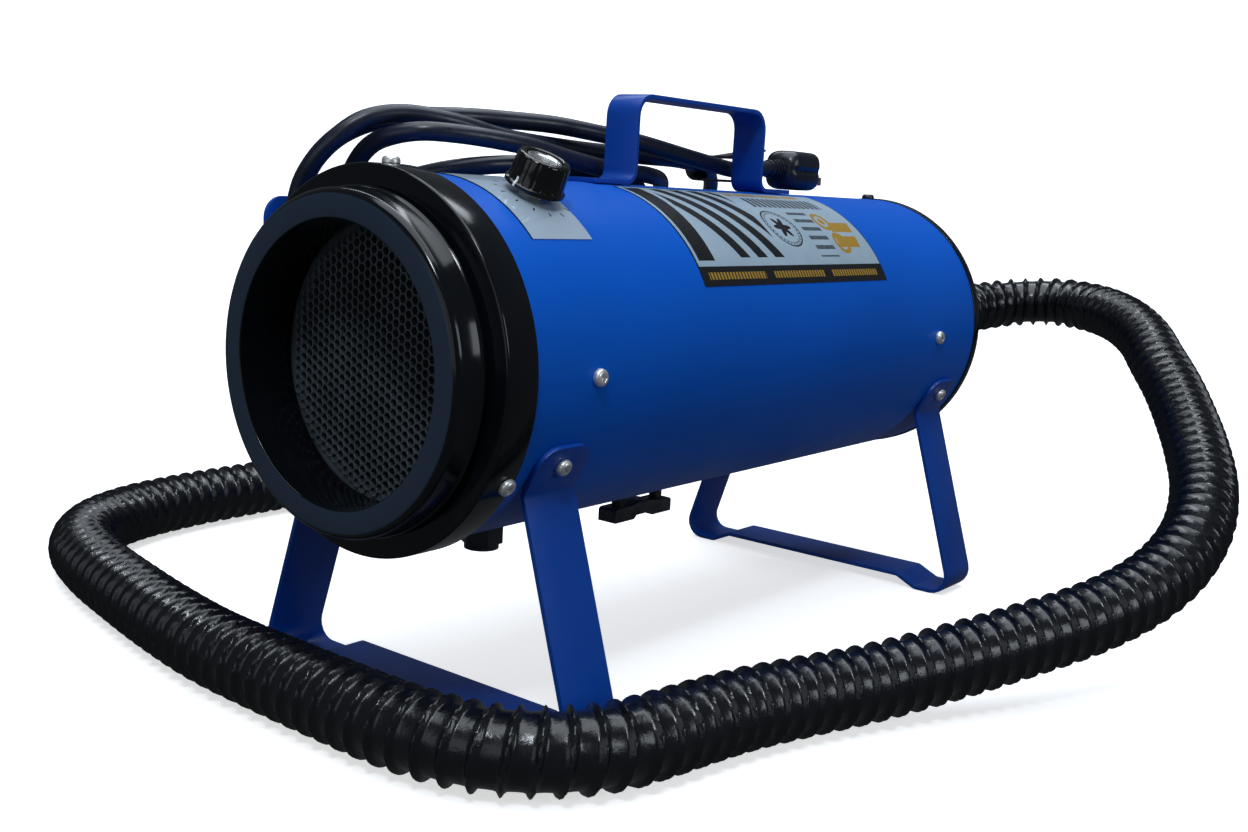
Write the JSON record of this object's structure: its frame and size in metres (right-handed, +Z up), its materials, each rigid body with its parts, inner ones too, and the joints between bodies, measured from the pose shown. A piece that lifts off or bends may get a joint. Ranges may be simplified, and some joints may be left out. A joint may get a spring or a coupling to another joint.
{
  "type": "pet dryer",
  "caption": "Canister pet dryer: painted tube housing on strap legs with a handle, honeycomb air intake, speed knob, black corrugated hose with nozzle and a looped mains lead.",
  "frame": {"origin": "on the floor under the middle of the housing, without the hose and the lead", "axes": "+Z up, +Y along the housing from the air intake to the outlet, +X towards the side that the knob leans to"},
  "size_m": [0.772, 0.8883, 0.362],
  "materials": {
    "blue_paint": "bright blue gloss paint",
    "strap_paint": "blue gloss paint",
    "black_trim": "satin black",
    "screen_black": "dark grey honeycomb",
    "foam": "open dark foam",
    "bright_steel": "bright plated screws",
    "knob_black": "glossy black",
    "knob_silver": "turned bright disc",
    "plate_white": "pale glossy plate",
    "label_silver": "silver-grey label with plain marks",
    "dark_plastic": "dark plastic",
    "clamp_grey": "dark plated casting",
    "cast_grey": "cast grey",
    "steel": "bare steel",
    "alloy": "pressed aluminium",
    "gasket_rubber": "black rubber",
    "carbon": "carbon and brass holders",
    "cuff_rubber": "soft black rubber",
    "hose_vinyl": "glossy black ribbed vinyl",
    "nozzle_black": "satin black",
    "lead_rubber": "blue-black rubber",
    "plug_black": "moulded black",
    "pin_metal": "plated brass",
    "tie_black": "woven black tie"
  },
  "bodies": {
    "housing": {"housing_tube": "blue_paint", "intake_flange": "black_trim", "intake_nose": "black_trim", "intake_screen": "screen_black", "filter_foam": "foam", "flange_screws": "bright_steel", "end_plate": "black_trim", "end_plate_screws": "bright_steel", "outlet_spigot": "dark_plastic", "front_leg": "strap_paint", "rear_leg": "strap_paint", "leg_screws": "bright_steel", "handle": "strap_paint", "handle_screws": "bright_steel", "control_plate": "plate_white", "side_label": "label_silver", "speed_control": "dark_plastic", "control_nut": "bright_steel", "cord_hooks": "strap_paint", "hook_screws": "bright_steel", "breaker_body": "dark_plastic", "breaker_cap": "dark_plastic", "belly_clamp": "clamp_grey", "belly_clamp_studs": "clamp_grey", "front_mount_ring": "cast_grey", "rear_mount_ring": "cast_grey", "mount_screws": "bright_steel", "mount_gaskets": "gasket_rubber", "front_fan_housing": "steel", "front_motor_frame": "cast_grey", "front_stator": "steel", "front_bearings": "steel", "front_brushes": "carbon", "rear_fan_housing": "steel", "rear_motor_frame": "cast_grey", "rear_stator": "steel", "rear_bearings": "steel", "rear_brushes": "carbon", "hose_cuff": "cuff_rubber", "hose": "hose_vinyl", "nozzle": "nozzle_black", "strain_relief": "lead_rubber", "mains_lead": "lead_rubber", "plug_body": "plug_black", "plug_pins": "pin_metal", "cord_tie": "tie_black"},
    "speed_knob": {"knob": "knob_black", "knob_disc": "knob_silver", "control_shaft": "bright_steel"},
    "front_spindle": {"front_rotor": "steel", "front_impeller": "alloy"},
    "rear_spindle": {"rear_rotor": "steel", "rear_impeller": "alloy"}
  },
  "joints": [
    {"name": "knob_turn", "type": "hinge", "parent": "housing", "child": "speed_knob", "pos_m": [0.04535, -0.2115, 0.30486], "axis": [0.4067, 0, 0.9135], "range_deg": [0, 300]},
    {"name": "front_spin", "type": "hinge", "parent": "housing", "child": "front_spindle", "pos_m": [0, -0.115, 0.203], "axis": [0, 1, 0], "continuous": true},
    {"name": "rear_spin", "type": "hinge", "parent": "housing", "child": "rear_spindle", "pos_m": [0, 0.105, 0.203], "axis": [0, 1, 0], "continuous": true}
  ]
}
